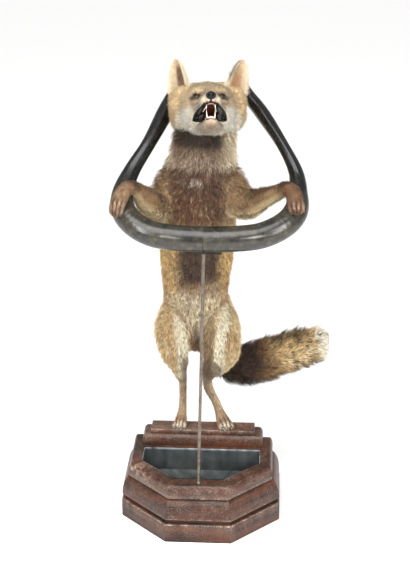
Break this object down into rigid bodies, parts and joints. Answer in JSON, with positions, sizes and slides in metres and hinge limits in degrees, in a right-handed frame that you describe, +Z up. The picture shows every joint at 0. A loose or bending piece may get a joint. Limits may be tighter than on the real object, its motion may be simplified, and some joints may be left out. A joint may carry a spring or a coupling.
{
  "type": "mounted fox stick stand",
  "caption": "Life-size red fox mounted upright, gripping a ring of buffalo horns, on a stepped hardwood base with a zinc drip tray.",
  "frame": {"origin": "underside of the base, at the middle of its width and 30 mm in front of its flat back", "axes": "+Z up, -Y to the front where the fox faces, +X to the fox's left"},
  "size_m": [0.4559, 0.3945, 0.9963],
  "materials": {
    "coat": "matt fur",
    "nose_skin": "damp-looking satin",
    "eye_glass": "polished glass, painted behind",
    "buffalo_horn": "semi-gloss polished horn",
    "mahogany": "worn semi-gloss varnish",
    "zinc": "dull tarnished sheet",
    "steel": "tarnished satin",
    "black_iron": "black"
  },
  "bodies": {
    "root": {"base_plinth": "mahogany", "base_body": "mahogany", "base_top": "mahogany", "back_step": "mahogany", "step_block": "mahogany", "drip_tray": "zinc", "support_rod": "steel", "ring_plate": "black_iron", "horn_left": "buffalo_horn", "horn_right": "buffalo_horn", "head": "coat", "lower_jaw": "coat", "nose": "nose_skin", "eye_left": "eye_glass", "eye_right": "eye_glass", "ear_left": "coat", "ear_right": "coat", "neck": "coat", "chest": "coat", "belly": "coat", "tail_root": "coat", "tail_middle": "coat", "tail_end": "coat", "upper_arm_left": "coat", "upper_arm_right": "coat", "forearm_left": "coat", "forearm_right": "coat", "forepaw_left": "coat", "forepaw_right": "coat", "thigh_left": "coat", "thigh_right": "coat", "shank_left": "coat", "shank_right": "coat", "hind_foot_left": "coat", "hind_foot_right": "coat"}
  },
  "joints": []
}
